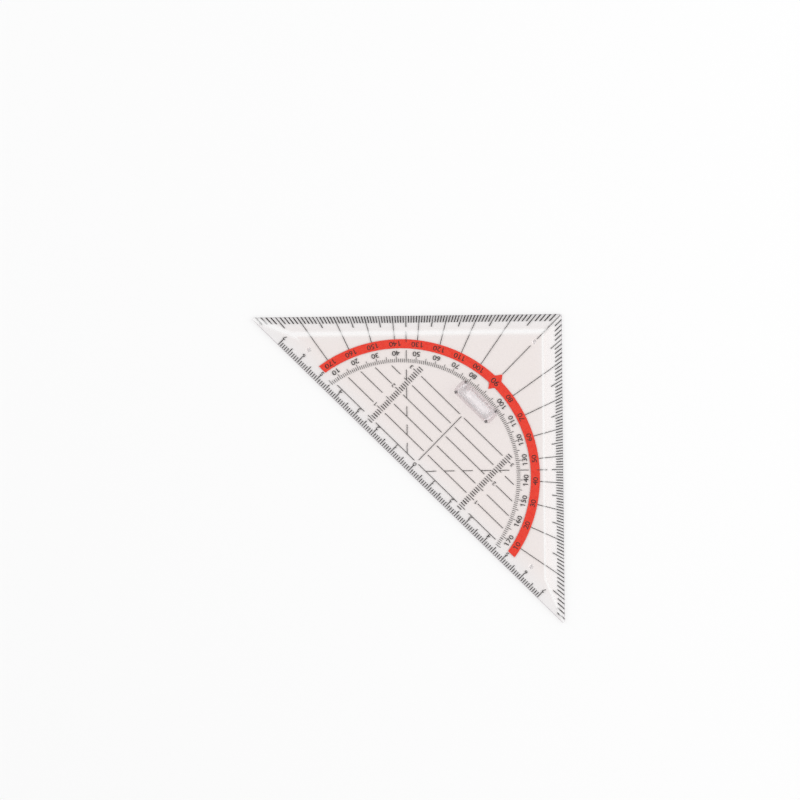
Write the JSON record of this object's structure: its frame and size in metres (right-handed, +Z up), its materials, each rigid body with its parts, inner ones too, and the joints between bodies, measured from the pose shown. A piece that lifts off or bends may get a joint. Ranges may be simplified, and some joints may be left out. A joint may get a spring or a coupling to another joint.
{
  "type": "drafting triangle",
  "caption": "Clear isosceles set square with ruler and protractor markings, sloped edges, low nubs under it and a finger grip that lifts off its peg holes.",
  "frame": {"origin": "the protractor's zero mark: the middle of the long ruling edge, at the printed underside", "axes": "+X along the long edge, +Y from the long edge to the square corner, +Z up out of the face with the grip. The nub tips lie 0.4 mm below the origin."},
  "size_m": [0.1686, 0.0848, 0.0117],
  "materials": {
    "plate": "clear moulded plastic, polished",
    "grip": "clear moulded plastic, polished",
    "dark_ink": "printed scale ink, nearly black",
    "red_ink": "printed protractor band, translucent red"
  },
  "bodies": {
    "plate": {"plate": "plate"},
    "grip": {"grip": "grip"}
  },
  "joints": [
    {"name": "grip_lift", "type": "slide", "parent": "plate", "child": "grip", "axis": [0, 0, 1], "range_m": [0, 0.008]}
  ]
}
